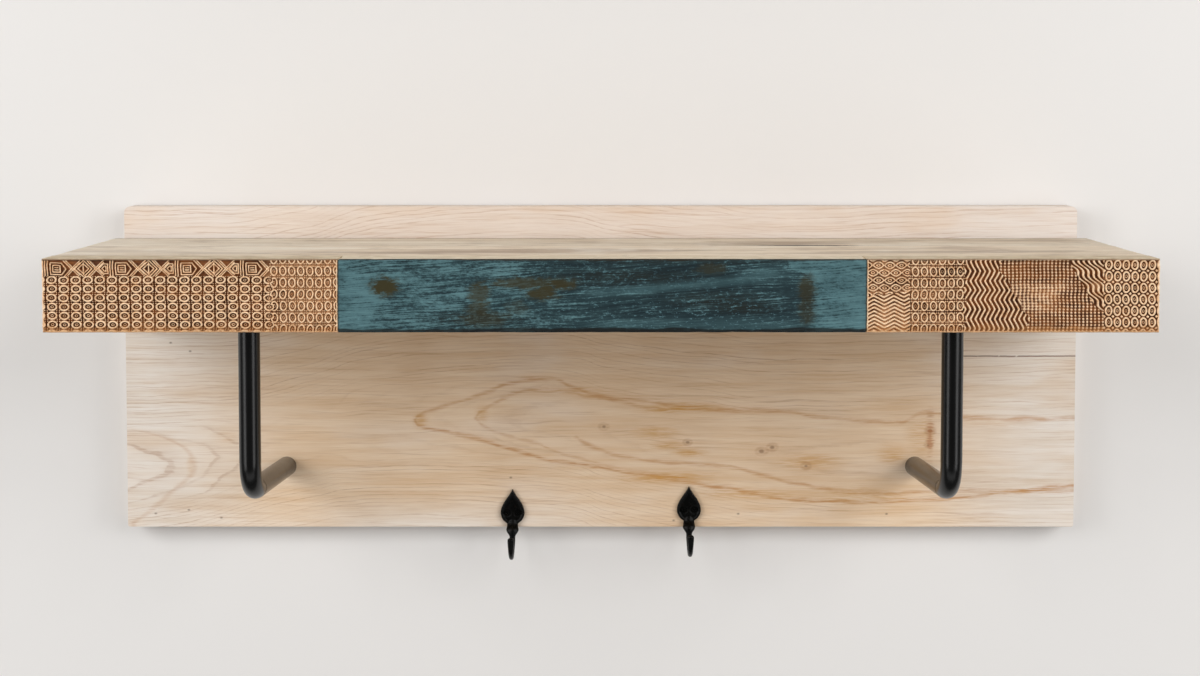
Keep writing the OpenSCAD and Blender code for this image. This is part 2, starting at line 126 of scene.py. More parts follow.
class Finish:
    """A material on one shader, whose colours follow the object's own place in millimetres."""

    def __init__(self, name, roughness=0.6, specular=0.35, metallic=0.0):
        self.material = bpy.data.materials.new(name)
        self.material.use_nodes = True
        self.tree = self.material.node_tree
        self.shader = self.tree.nodes["Principled BSDF"]
        self.shader.inputs["Roughness"].default_value = roughness
        self.shader.inputs["Specular IOR Level"].default_value = specular
        self.shader.inputs["Metallic"].default_value = metallic
        parts = self.add("ShaderNodeSeparateXYZ")
        self.feed(parts.inputs[0], self.add("ShaderNodeTexCoord").outputs["Object"])
        self.x, self.y, self.z = (Term(self, s) / MM for s in parts.outputs)

    def add(self, kind, **settings):
        node = self.tree.nodes.new(kind)
        for name, value in settings.items():
            setattr(node, name, value)
        return node

    def feed(self, socket, value):
        value = value.socket if isinstance(value, Term) else value
        if isinstance(value, bpy.types.NodeSocket):
            self.tree.links.new(value, socket)
        else:
            socket.default_value = rgb(value) if isinstance(value, str) else value

    def math(self, operation, *values, clamp=False):
        node = self.add("ShaderNodeMath", operation=operation, use_clamp=clamp)
        for socket, value in zip(node.inputs, values):
            self.feed(socket, value)
        return Term(self, node.outputs[0])

    def noise(self, x, y, z, detail=3, roughness=0.5, seed=0.0):
        """Cloudy noise around 0.5, with one cell per unit of x, y and z."""
        at = self.add("ShaderNodeCombineXYZ")
        for socket, value in zip(at.inputs, (x, y, z)):
            self.feed(socket, value)
        node = self.add("ShaderNodeTexNoise", noise_dimensions="4D")
        self.feed(node.inputs["Vector"], at.outputs[0])
        for name, value in (("W", seed), ("Scale", 1), ("Detail", detail), ("Roughness", roughness)):
            node.inputs[name].default_value = value
        return Term(self, node.outputs["Fac"])

    def blend(self, share, one, other):
        """Colour one, turned into other by share."""
        node = self.add("ShaderNodeMix", data_type="RGBA")
        self.feed(node.inputs[0], share)
        self.feed(node.inputs[6], one)
        self.feed(node.inputs[7], other)
        return node.outputs[2]

    def spot(self, x, z, half_w, half_h, wander=None):
        """1 at a point of the face, falling to 0 at the edge of an oval round it."""
        across, up = (self.x - x) / half_w, (self.z - z) / half_h
        distance = (across * across + up * up) ** 0.5
        return (distance if wander is None else distance + wander).fade(1, 0)

    def paint(self, colour, roughness=None, height=None, relief=0.1):
        """Feeds the shader; height from 0 to 1 stands relief millimetres proud."""
        self.feed(self.shader.inputs["Base Color"], colour)
        if roughness is not None:
            self.feed(self.shader.inputs["Roughness"], roughness)
        if height is not None:
            node = self.add("ShaderNodeBump")
            node.inputs["Distance"].default_value = relief * MM
            self.feed(node.inputs["Height"], height)
            self.tree.links.new(node.outputs[0], self.shader.inputs["Normal"])
        return self.material


def washed_pine():
    f = Finish("washed_pine", roughness=0.62, specular=0.25)
    x, y, z = f.x, f.y, f.z
    # The heart line that the rings loop round, and how far a point lies off it
    heart = x.curve(
        (-392, -176), (-337, -171), (-245, -152), (-154, -137), (-96, -136), (-50, -136),
        (3, -147), (45, -155), (86, -160), (162, -168), (270, -167), (392, -163))
    sway = f.noise(x / 90, z / 35, y / 40, detail=2) - 0.5
    off = abs(z + sway * 9 - heart)
    # Ring count along the heart, less the count from the heart outwards
    along = x.curve(
        (-392, 1.2), (-337, 0.0), (-245, -1.9), (-200, -1.0), (-154, 0.0), (-102, 0.9), (-50, 1.75),
        (-18, 2.1), (86, 3.1), (162, 3.6), (392, 4.6))
    outward = off.curve(
        (0, 0), (10, 0.35), (20, 1.0), (30, 1.8), (36, 3.9), (44, 6.6), (60, 12), (250, 66))
    ring = along - outward + (f.noise(x / 26, z / 9, y / 20, detail=3) - 0.5) * 0.7 + y * 0.12
    late = ring.fract().curve(
        (0, 0.75), (0.05, 0.12), (0.14, 0), (0.55, 0.06), (0.8, 0.3), (0.93, 1), (1, 0.75))
    vivid = f.noise(x / 150, ring / 1.1, y / 60, detail=2, seed=3).fade(0.42, 0.7)
    fibre = f.noise(x / 34, z / 0.75, y / 0.9, detail=3, roughness=0.6, seed=1)
    dash = f.noise(x / 15, z / 0.9, y / 1.5, detail=2, roughness=0.6, seed=13).fade(0.36, 0.62)
    streak = f.noise(x / 95, z / 5, y / 9, detail=3, roughness=0.6, seed=7)
    cloud = f.noise(x / 110, z / 32, y / 20, detail=3, seed=5)
    # Paler at both ends and above the shelf, where the wash lies thicker
    thick = (abs(x).fade(240, 380) + z.fade(-30, 14) * 0.6 + f.spot(-130, -232, 230, 44) * 0.9).clamp()
    colour = f.blend(thick, f.blend(streak.fade(0.3, 0.75), "#ecd3b6", "#e0bf9a"),
                     f.blend(streak.fade(0.3, 0.75), "#f0e7dd", "#e4d5c4"))
    colour = f.blend(z.fade(6, 16) * 0.45, colour, "#dcd1cc")
    # Painted shade under the shelf, darkest in the corner, with a little dust there
    colour = f.blend(abs(z + 40).fade(34, 0) * 0.22, colour, "#94765a")
    colour = f.blend(cloud.fade(0.5, 0.7) * 0.35, colour, "#d9b58d")
    colour = f.blend(cloud.fade(0.5, 0.3) * 0.35, colour, "#eee0d2")
    # The rings show faintly inside the heart figure and round its left end
    inside = off.fade(42, 30) * x.fade(-158, -110)
    quiet = (inside * 0.6 + f.spot(-245, -152, 90, 42) + f.spot(-178, -132, 95, 62)).clamp()
    colour = f.blend(late * (dash * 0.7 + 0.3) * (vivid * 0.5 + 0.1) * (1 - quiet), colour, "#ab7d59")
    thread = f.noise(x / 120, (z + sway * 14) / 1.7, y / 2, detail=2, seed=21).fade(0.56, 0.68)
    colour = f.blend(thread * (dash * 0.5 + 0.3) * 0.5, colour, "#b98e68")
    # Lines that stand out from the rest: an outer and an inner loop, each from its nose along its
    # upper and its lower side, a line inside them, and the arch at the left end
    waver = (f.noise(x / 30, z / 12, y / 30, detail=3, seed=11) - 0.5) * 5
    breadth = f.noise(x / 26, z / 6, y / 10, detail=2, seed=12) * 7 - 0.6
    nose, second = x.fade(-156, -152), x.fade(-106, -101) * x.fade(160, 60)
    loops = [
        (nose * 0.75,
         (-154, -137), (-150, -132.5), (-136, -127), (-115, -121), (-92, -113), (-71, -106),
         (-48, -103), (-26, -108.7), (3, -117.6), (39, -122), (101, -128), (145, -129.6),
         (196, -136), (246, -138.6), (273, -131), (298, -135), (389, -135.5)),
        (nose,
         (-154, -137), (-148, -142), (-130, -145.5), (-100, -153), (-71, -162.5), (-41, -170.6),
         (-11, -174.5), (27, -182), (63, -187), (101, -194), (136, -200), (181, -205),
         (257, -204.4), (298, -202), (351, -195.7), (389, -191.7)),
        (second * 0.6,
         (-104, -136), (-98, -129), (-80, -119), (-53, -111.7), (-29, -112.5), (-11, -117.6),
         (14, -121), (39, -126.6), (77, -128.2), (140, -131)),
        (second * 0.5,
         (-104, -136), (-92, -144.6), (-53, -156.4), (-25, -166.3), (20, -178), (140, -196)),
        (x.fade(-24, -18) * 0.75,
         (-20, -152), (3, -162.5), (27, -169), (63, -173), (101, -175.5), (136, -183.4),
         (181, -193.7), (230, -198), (300, -196))]
    for share, *points in loops:
        line = (abs(z + waver - x.curve(*points)) / breadth).fade(1, 0)
        colour = f.blend(line * (dash * 0.62 + 0.22) * share, colour, "#be854c")
    arch = z.curve(
        (-223, -388), (-210, -370), (-195, -353.6), (-187, -344), (-180, -338), (-172, -336.8),
        (-164, -340.5), (-155.6, -352), (-149, -370), (-145, -388))
    arch_line = (abs(x + waver - arch) / (breadth * 1.6)).fade(1, 0) * z.fade(-142, -150)
    colour = f.blend(arch_line * (dash * 0.5 + 0.5) * 0.32, colour, "#c08f62")
    # Golden summer wood lies in short strokes inside the loops and beside the bracket's foot
    for at_x, at_z, half_w, half_h, share in (
            (-149, -137, 9, 10, 0.9), (-98, -132, 8, 12, 0.7), (69, -127, 50, 7, 1.2),
            (45, -147, 26, 7, 1.3), (57, -158, 20, 6, 1.1), (74, -164, 21, 6, 1.2),
            (58, -185, 62, 9, 1.3), (173, -172, 40, 11, 1.0), (130, -199, 80, 8, 0.8),
            (242, -166, 18, 15, 0.9), (215, -199, 60, 12, 0.8), (266, -152, 18, 28, 0.8),
            (-310, -151, 16, 9, 0.4), (-340, -176, 5, 11, 0.5), (-20, -113, 60, 12, 0.4),
            (320, -140, 50, 6, 0.4), (345, -197, 45, 5, 0.5)):
        patch = f.spot(at_x, at_z, half_w, half_h, (streak - 0.5) * 1.1)
        colour = f.blend(patch * (dash * 0.58 + 0.2) * share, colour, "#cc9853")
    colour = f.blend(fibre.fade(0.5, 0.75) * 0.3, colour, "#b8926e")
    colour = f.blend(fibre.fade(0.47, 0.2) * 0.25, colour, "#f3e8dc")
    # Pin knots, with a darker eye in a soft brown ring, then mere specks
    for at_x, at_z, reach in (
            (2.7, -142.6, 4.2), (72, -155.6, 3.6), (133, -163, 4.5), (142, -159.7, 4.2),
            (170, -175.4, 4.2), (272.6, -146, 4), (271, -158, 3.5)):
        gap = (((x - at_x) / 1.4) ** 2 + (z - at_z) ** 2) ** 0.5 / reach + waver * 0.16
        curl = gap.curve((0, 0.2), (0.35, 0.35), (0.6, 0.6), (0.8, 0.4), (1, 0.0))
        colour = f.blend(curl * (dash * 0.4 + 0.2), colour, "#a5714a")
        colour = f.blend(gap.fade(0.45, 0.1) * 0.65, colour, "#866043")
    for at_x, at_z in (
            (-339, -79.7), (-355, -72.7), (-341.5, -212), (-369, -215), (-314.6, -218.6),
            (-74.5, -185), (60.5, -220.8), (114, -215.3), (237, -215.4)):
        colour = f.blend(f.spot(at_x, at_z, 1.9, 1.3) * 0.75, colour, "#6f5a49")
    # A brown vein between the two knots on the right, and a fine crack from the right end
    colour = f.blend(f.spot(272.6, -150, 4, 22, (dash - 0.5) * 0.9) * 0.7, colour, "#b06f3c")
    split = f.noise(x / 5, z / 4, 0, detail=1, seed=9).fade(0.28, 0.42)
    crack = abs(z + 83.8 + (f.noise(x / 22, 0, 0) - 0.5) * 1.5).fade(0.75, 0.3)
    colour = f.blend(crack * x.fade(292, 300) * split * 0.8, colour, "#74503a")
    height = late * -0.4 + fibre * 0.5 + dash * 0.1
    return f.paint(colour, height=height, relief=0.12)


def dress(node_name, finish):
    """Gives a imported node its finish."""
    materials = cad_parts[node_name].data.materials
    materials.clear()
    materials.append(finish)


dress("back_board", washed_pine())


# Shelf. Two wide staves of old grey-beige wood, edge-glued with a thin dark seam, their arrises
# worn soft. Three blocks are glued along the front edge; the middle one keeps its old blue paint.

def shelf_box(node_name):
    low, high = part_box(node_name)
    return np.array(low) / MM, np.array(high) / MM


def ticks(low, high, step, arris):
    """Places along one side of a block: fine steps near both ends and even ones between."""
    near = np.array([0, 0.3, 0.6, 0.85, 1.1, 1.6, 2.6]) * arris
    count = max(2, round((high - low - 2 * near[-1]) / step))
    middle = np.linspace(low + near[-1], high - near[-1], count + 1)
    return np.concatenate([low + near[:-1], middle, (high - near[:-1])[::-1]])


def mesh_object(name, points, faces, material):
    """A smooth-shaded piece from points in millimetres, riding on the one body."""
    mesh = bpy.data.meshes.new(name)
    mesh.from_pydata([tuple(p) for p in np.asarray(points) * MM], [], faces)
    mesh.update()
    mesh.shade_smooth()
    mesh.materials.append(material)
    piece = bpy.data.objects.new(name, mesh)
    bpy.context.collection.objects.link(piece)
    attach(piece, "root")
    return piece


def shell(sizes):
    """Lattice points on the surface of a block of that many points a side, and its faces."""
    number, points, faces = {}, [], []

    def point(*at):
        if at not in number:
            number[at] = len(points)
            points.append(at)
        return number[at]

    for axis in range(3):
        u, v = (axis + 1) % 3, (axis + 2) % 3
        for side in (0, sizes[axis] - 1):
            for i in range(sizes[u] - 1):
                for j in range(sizes[v] - 1):
                    corners = []
                    for a, b in ((0, 0), (1, 0), (1, 1), (0, 1)):
                        at = [0, 0, 0]
                        at[axis], at[u], at[v] = side, i + a, j + b
                        corners.append(point(*at))
                    faces.append(corners if side else corners[::-1])
    return np.array(points), faces


def worn_block(name, node_name, material, seed, arris=1.2, wear=0.5, wave=0.15, step=5.0):
    """A block in the node's box: its arrises rounded, unevenly by wear, and its faces wavy."""
    low, high = shelf_box(node_name)
    sides = [ticks(low[a], high[a], step, arris) for a in range(3)]
    lattice, faces = shell([len(s) for s in sides])
    points = np.stack([sides[a][lattice[:, a]] for a in range(3)], axis=1)
    for i, p in enumerate(points):
        rough = noise.fractal((p[0] / 17 + seed, p[1] / 11, p[2] / 11), 0.9, 2.1, 3)
        r = arris * (1 + wear * max(-0.9, min(1.4, 1.6 * rough)))
        inner = np.clip(p, low + r, high - r)
        out = p - inner
        distance = np.linalg.norm(out)
        out /= max(distance, 1e-9)
        dip = noise.noise((p[0] / 60 + seed, p[1] / 25, p[2] / 25 + 9))
        points[i] = inner + out * (r - wave * max(0, 0.5 + 0.5 * dip))
    return mesh_object(name, points, faces, material)


def grey_wood(name, seed, pale, dark, deep):
    """Old shelf wood in three shades: its finish, its colour, and its height for the relief."""
    f = Finish(name, roughness=0.58, specular=0.3)
    x, y, z = f.x, f.y, f.z
    sway = (f.noise(x / 160, y / 70, z / 70, detail=2, seed=seed) - 0.5) * 16
    ring = (y + sway) / 7 + z / 11
    phase = (ring + f.noise(x / 60, y / 9, z / 9, seed=seed + 1) * 0.8).fract()
    late = phase.curve((0, 0.6), (0.08, 0), (0.5, 0.05), (0.85, 0.5), (1, 1))
    fibre = f.noise(x / 22, y / 0.8, z / 0.8, detail=4, roughness=0.62, seed=seed + 2)
    band = f.noise(x / 220, (y + sway) / 13, z / 15, detail=3, roughness=0.6, seed=seed + 3)
    cloud = f.noise(x / 55, y / 40, z / 30, detail=4, roughness=0.6, seed=seed + 4)
    colour = f.blend(band.fade(0.32, 0.7), pale, dark)
    colour = f.blend(late * 0.3, colour, deep)
    wide = f.noise(x / 210, y / 38, z / 38, detail=4, roughness=0.55, seed=seed + 8)
    colour = f.blend(wide.fade(0.5, 0.64) * 0.75, colour, deep)
    colour = f.blend(wide.fade(0.46, 0.34) * 0.5, colour, "#f6ecdb")
    colour = f.blend((x * -1).fade(170, 340) * 0.4, colour, "#f1e6d4")
    colour = f.blend(cloud.fade(0.5, 0.7) * 0.5, colour, deep)
    colour = f.blend(cloud.fade(0.48, 0.3) * 0.5, colour, "#f4ebdc")
    colour = f.blend(fibre.fade(0.5, 0.72) * 0.4, colour, deep)
    colour = f.blend(fibre.fade(0.46, 0.25) * 0.35, colour, "#f1e7d6")
    slit = f.noise(x / 26, y / 2.2, z / 1.1, detail=2, seed=seed + 5).fade(0.68, 0.73)
    colour = f.blend(slit * 0.85, colour, "#4d3f31")
    # End grain: closer and darker, with the rings as arcs
    arc = ((((y + 150) ** 2 + (z + 120) ** 2) ** 0.5 + sway * 0.2) / 4.3).fract()
    pore = f.noise(0, y / 0.7, z / 0.7, detail=2, seed=seed + 6)
    ends = f.blend(arc.curve((0, 0.5), (0.1, 0), (0.7, 0.2), (1, 1)) * 0.5, "#cbb28e", "#937453")
    ends = f.blend(pore.fade(0.5, 0.7) * 0.4, ends, "#7d6044")
    colour = f.blend(abs(x).fade(399, 399.5), colour, ends)
    return f, colour, fibre * 0.6 - slit - late * 0.3


f, colour, height = grey_wood("rear_stave_wood", 2, "#e8dac5", "#cfbca2", "#9d8771")
x, y, z = f.x, f.y, f.z
# Darker along the corner with the back board, with a wavering edge
darkening = f.noise(x / 14, y / 4, 0, detail=3, seed=31)
corner = (y + 25 + (darkening - 0.5) * 9).fade(-2.5, 3) * z.fade(12, 13)
colour = f.blend(corner * 0.6, colour, "#6b5b49")
# A crack in the top that wanders, and runs out to nothing at both ends
taper = x.fade(92, 165) * x.fade(222, 150)
bow = f.noise(x / 38, 0, 0, detail=2, seed=32)
fray = f.noise(x / 5, y / 5, 0, detail=3, seed=33)
drift = (bow - 0.5) * 5 + (fray - 0.5) * 5
split = (taper * 5.2 - abs(y + 96.5 + drift)).fade(-0.4, 1.4)
colour = f.blend(split * 0.92, colour, "#33241a")
rear_wood = f.paint(colour, height=height, relief=0.2)
rear = worn_block("rear_stave_planed", "rear_stave", rear_wood, seed=3)
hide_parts("rear_stave")

f, colour, height = grey_wood("front_stave_wood", 12, "#f1e1ca", "#dac5a8", "#aa917a")
front_wood = f.paint(colour, height=height, relief=0.2)
front = worn_block("front_stave_planed", "front_stave", front_wood, seed=5)
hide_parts("front_stave")


def old_blue():
    f = Finish("old_blue_paint", roughness=0.5, specular=0.2)
    x, y, z = f.x, f.y, f.z
    # Brush marks climb a little to the right
    climb = z - x * 0.07 + (f.noise(x / 70, z / 25, 0, detail=2) - 0.5) * 7
    brush = f.noise(x / 44, climb / 0.9, y / 2, detail=5, roughness=0.62, seed=1)
    drag = f.noise(x / 85, climb / 3.0, y / 8, detail=5, roughness=0.64, seed=2)
    speck = f.noise(x / 3.2, z / 1.4, y / 1.5, detail=3, roughness=0.75, seed=3)
    cloud = f.noise(x / 26, z / 12, y / 20, detail=4, roughness=0.62, seed=4)
    # Worn and dirty most in the middle, but spared in a slanting band and three patches
    patchy = x + z.fade(0, 8) * 17 + (cloud - 0.5) * 26
    worn = patchy.curve(
        (-190, 0.0), (-168, 0.05), (-155, 0.3), (-60, 0.5), (0, 0.8), (80, 0.95),
        (134, 0.8), (150, 0.6), (156, 0.05), (191, 0.0))
    band = abs(z + 10.3 - x * 0.09).fade(5, 1) * x.fade(-30, 10) * x.fade(128, 100)
    spared = band + f.spot(100, -33, 90, 9) + f.spot(20, -33, 60, 8) + f.spot(120, 4, 30, 7)
    spared = spared.clamp() * 0.7
    colour = f.blend(brush.fade(0.3, 0.7), "#608387", "#426369")
    colour = f.blend(cloud.fade(0.42, 0.62) * 0.55, colour, "#345055")
    stain = (drag * 0.6 + brush * 0.4 + worn * 0.1).fade(0.5, 0.66)
    colour = f.blend(stain * (worn * 0.58 + 0.12) * (1 - spared), colour, "#16262c")
    dots = (speck * 0.36 + cloud * 0.2 + brush * 0.44 + worn * 0.13).fade(0.5, 0.61)
    colour = f.blend(dots * (1 - spared * 0.6) * 0.76, colour, "#0b171d")
    crackle = f.spot(60, -26, 130, 16) * 0.35 + 0.25
    colour = f.blend(speck.fade(0.43, 0.32) * crackle, colour, "#7099a2")
    # Bare brown wood where knots and veins have thrown the paint
    ragged = (f.noise(x / 7, z / 3, y / 5, detail=4, roughness=0.7, seed=5) - 0.5) * 1.7
    for at_x, at_z, half_w, half_h, share in (
            (-154.5, -6, 15, 10, 1.0), (-52, -3.5, 40, 6, 0.8), (-27, -4, 15, 6, 0.9),
            (-87, -11, 11, 12, 0.75), (-88, -22, 12, 9, 0.6), (-84, -29, 24, 8, 0.7),
            (-42, -11, 17, 7, 0.9), (-60, -21, 12, 8, 0.35), (79, 7, 16, 6, 0.5),
            (147.5, -8, 9, 15, 0.7), (147.5, -25, 9, 12, 0.55)):
        thrown = (f.spot(at_x, at_z, half_w, half_h, ragged) * 1.7).clamp()
        colour = f.blend(thrown * share, colour, "#38331d")
    # Dark shade where dirt has settled in the paint
    for at_x, at_z, half_w, half_h in (
            (15, 1, 90, 10), (50, 13, 130, 5), (-88, -29, 54, 10), (85, -16, 60, 11),
            (105, -22, 34, 6), (148, -18, 9, 18)):
        shade = f.spot(at_x, at_z, half_w, half_h, ragged * 0.7) * (1 - speck.fade(0.5, 0.38))
        colour = f.blend(shade * (brush.fade(0.3, 0.6) * 0.5 + 0.22), colour, "#20221c")
    # Dark arrises below, above and at both ends, and bare wood behind the painted face
    fleck = f.noise(x / 30, 0, y / 8, detail=3, seed=6)
    colour = f.blend((z + 36.2 + (fleck - 0.5) * 5).fade(0.8, -0.6) * 0.85, colour, "#14110d")
    colour = f.blend((z - 12.9 - (fleck - 0.5) * 3).fade(-0.3, 0.5) * 0.85, colour, "#2c261d")
    ends = abs(x - 1).fade(187.8, 189.2)
    colour = f.blend(ends * 0.7, colour, "#241c14")
    bare = f.blend(brush.fade(0.35, 0.65), "#eadcc2", "#c8b494")
    colour = f.blend((y + 218.7 + (fleck - 0.5) * 0.8).fade(0, 0.5), colour, bare)
    return f.paint(colour, height=brush * 0.5 + speck * 0.5, relief=0.15)


painted = worn_block("painted_block_worn", "painted_block", old_blue(), seed=8,
                     arris=1.3, wear=0.7, wave=0.25, step=2.5)
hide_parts("painted_block")


# Carved end blocks. Offcuts of hand-cut printing blocks in close-grained hardwood, stained brown;
# the stain has rubbed off the raised lines. Each is glued to the stave with its old face forward.

CARVE_DEPTH, GRID_STEP, EDGE_LINE = 2.2, 0.37, 1.3


def ridge(distance, width, slope=0.4):
    """1 along a raised line of that width and 0 beside it, with sloping sides."""
    return np.clip(0.5 + (width / 2 - np.abs(distance)) / slope, 0, 1)


def within(place, first, pitch):
    """Distance from the middle of the nearest cell, where the cells are a pitch apart."""
    return (place - first + pitch / 2) % pitch - pitch / 2


def oval_line(across, down, half_w, half_h, width, power=2.0):
    """A raised ring; a power under 2 gives it pointed ends."""
    size = ((np.abs(across) / half_w) ** power + (np.abs(down) / half_h) ** power) ** (1 / power)
    distance = np.hypot(across, down) * (1 - 1 / np.maximum(size, 0.05))
    return ridge(distance, width)


def oval_net(x, down, first, half, pitch, line, dot=0.9, apart=0.11):
    """Rings with a small one in each, and raised dots where four of them meet.

    Each pair gives the width and the height: the middle of a first ring, half a ring, a pitch.
    """
    (half_w, half_h), (pitch_w, pitch_h) = half, pitch
    across, down = within(x, first[0], pitch_w), within(down, first[1], pitch_h)
    ring = oval_line(across, down, half_w, half_h, line)
    eye = oval_line(across, down, half_w * 0.32, half_h * 0.32, line * 0.5) * 0.7
    corner_w, corner_h = pitch_w / 2 - np.abs(across), pitch_h / 2 - np.abs(down)
    off = np.abs(corner_w - pitch_w * apart) + np.abs(corner_h - pitch_h * apart)
    return np.maximum(ring, np.maximum(eye, ridge(off, dot * 1.5) * 0.9))


def strokes(across, down, width, lines):
    """Raised lines between pairs of points."""
    height = np.zeros_like(across)
    for x0, z0, x1, z1 in lines:
        run, rise = x1 - x0, z1 - z0
        share = np.clip(((across - x0) * run + (down - z0) * rise) / (run * run + rise * rise), 0, 1)
        distance = np.hypot(across - x0 - share * run, down - z0 - share * rise)
        height = np.maximum(height, ridge(distance, width))
    return height


def loop(*points):
    """The lines round a closed outline."""
    return [(*a, *b) for a, b in zip(points, points[1:] + points[:1])]


def ripple(place, half):
    """A zigzag with slightly rounded corners, from -1 to 1."""
    return 2 / math.pi * np.arcsin(0.985 * np.sin(math.pi * place / half))


# The patterns give a height from 0 to 1 over x and down, in millimetres from the top left corner

def border_line(x, down):
    """The border: split diamonds, crosses, and boxes with a double bar between them."""
    first, unit, left, middle = 29.9, 46.7, 24.9, 7.2
    across = (x - first + left) % unit - left
    down = down - middle
    lines = loop((-6.2, 0), (0, 5.9), (6.2, 0), (0, -5.9)) + [(0, -4.3, 0, 4.3)]
    lines += loop((-3.9, 0), (0, 3.6), (3.9, 0), (0, -3.6))
    for side in (-8.4, 8.4):
        for gap in (0, 1.7):
            lines += [(side - 6 + gap, -6, side + 6, 6 - gap), (side - 6 + gap, 6, side + 6, gap - 6)]
    lines += loop((11.1, 0), (14.4, 3.4), (17.5, 3.4), (17.5, -3.4), (14.4, -3.4))
    lines += loop((13.3, 0), (15.0, 1.8), (16.3, 1.8), (16.3, -1.8), (15.0, -1.8))
    lines += [(19.1, -6, 19.1, 6), (20.9, -6, 20.9, 6)]
    lines += loop((-23.6, -4.2), (-23.6, 4.2), (-15.7, 4.2), (-12.4, 0), (-15.7, -4.2))
    lines += loop((-21.8, -2.4), (-21.8, 2.4), (-16.6, 2.4), (-16.6, -2.4))
    lines += [(-20.4, 0.8, -17.9, 0.8), (-20.4, -0.8, -17.9, -0.8)]
    return strokes(across, down, 0.8, lines)


def left_pattern(x, down):
    """The border above rows of lying rings, and standing rings at the right end."""
    first_row, row = 15.3, 6.42
    lying = oval_net(x, down, (6.9, first_row), (3.15, 2.4), (8.64, row), 1.2, dot=0.75)
    standing = oval_net(x, down, (166.1, 8.7), (2.2, 3.2), (6.42, 8.42), 1.05, dot=0.8)
    height = np.where(down < 12.6, border_line(x, down), lying)
    # The last lying ring of each row reaches past the line between the two
    in_row = (down > 14) * (np.abs(within(down, first_row, row)) < 2)
    return np.where(x < 163.0 + 2.5 * in_row, height, standing)


def right_pattern(x, down):
    """From left to right: lozenges over waves, rings, a zigzag, a mesh, waves, dotted rings."""
    shift = (np.floor((down - 2) / 5.4) % 2) * 4.1
    across, along = within(x + shift, 8.3, 8.2), within(down, 4.7, 5.4)
    lozenges = np.maximum(oval_line(across, along, 3.7, 2.4, 1.0, power=1.35),
                          oval_line(across, along, 1.2, 0.8, 0.7))
    waves = ridge(within(down + 1.9 * ripple(x - 1.5, 7.2), 1.0, 2.75), 1.35)
    height = np.where(down + 0.12 * x < 27, lozenges, waves)

    rings = oval_net(x, down, (34.7, 9.3), (2.2, 3.2), (6.42, 8.25), 1.05)
    height = np.where(x > 30.6, rings, height)

    swing = 1.9 * ripple(down + 1.4, 6.9)
    zigzag = ridge(within(x + swing, 72.4, 3.47), 1.25)
    height = np.where(x > 70.3 + swing, zigzag, height)

    bars, rungs = ridge(within(x, 0.4, 2.81), 1.2), ridge(within(down, 1.2, 2.21), 0.95)
    mesh = bars * 0.4 + rungs * 0.3 + bars * rungs * 0.3
    # Its middle stands a little higher, where the stain is rubbed thin
    rubbed = (np.clip((down - 14.5) / 5, 0, 1) * np.clip((47 - down) / 10, 0, 1)
              * np.clip((157 - 0.7 * (down - 17) - x) / 14, 0, 1))
    mesh = np.maximum(mesh, rubbed * (0.29 + 0.5 * mesh))
    height = np.where(x > 94.5 + 21 * np.clip((down - 6) / 36, 0, 1) + swing, mesh, height)

    drop = (down - 3) * 0.68
    steep = ridge(within(x - drop + 1.4 * np.sin(down * 2 * math.pi / 10.6), 1.5, 3.7), 1.5)
    height = np.where((x > 145.5 + drop * 0.85) & (down < 33 + (x - 160) * 0.5), steep, height)

    dotted = oval_net(x, down, (173.1, 4.4), (2.15, 3.15), (6.22, 8.25), 1.25, dot=1.5, apart=0)
    return np.where(x > 169.6, dotted, height)


def carved_wood(name, front, bands, marks):
    """Dark ground and rubbed tops; bands give the wear along x, and marks add to it in spots."""
    f = Finish(name, roughness=0.6, specular=0.3)
    x, y, z = f.x, f.y, f.z
    height = (y * -1 + (front + CARVE_DEPTH)) / CARVE_DEPTH
    fibre = f.noise(x / 13, y / 4, z / 0.9, detail=4, roughness=0.6)
    blot = f.noise(x / 24, y / 20, z / 7, detail=3, roughness=0.6, seed=2)
    rub = f.noise(x / 5, y / 6, z / 3, detail=3, roughness=0.65, seed=3)
    wear = x.curve(*bands)
    ragged = (rub - 0.5) * 1.2
    for at_x, at_z, half_w, half_h, share in marks:
        wear = wear + f.spot(at_x, at_z, half_w, half_h, ragged) * share
    ground = f.blend(blot.fade(0.35, 0.65), "#5b3217", "#92592b")
    ground = f.blend((blot * 0.5 + rub * 0.5 + wear).fade(0.62, 0.9) * 0.85, ground, "#c0946a")
    top = f.blend(rub.fade(0.3, 0.6), "#e6b88a", "#fbdab4")
    top = f.blend((wear * -1 + (rub - 0.5) * 0.3).fade(0.0, 0.35) * 0.75, top, "#7d5335")
    colour = f.blend((height + (rub - 0.5) * 0.3).fade(0.28, 0.6), ground, top)
    colour = f.blend(fibre.fade(0.55, 0.75) * 0.3, colour, "#7d5330")
    bottom = (z * -1 - 33.5 + (blot - 0.5) * 8).fade(0, 3)
    colour = f.blend(bottom * 0.6, colour, "#c58f58")
    darkening = (z - 12.4 - (blot - 0.5) * 3).fade(0, 0.9)
    colour = f.blend(darkening * 0.7, colour, "#47311f")
    # Pale unstained wood behind the face
    bare = f.blend(fibre.fade(0.3, 0.7), "#e0cfb0", "#b9a17f")
    behind = (y - (front + 2.9)).fade(0, 0.6) + (y - (front + 0.8)).fade(0, 0.6) * (z - 13).fade(0, 0.4)
    colour = f.blend(behind.clamp(), colour, bare)
    return f.paint(colour, height=fibre, relief=0.1)


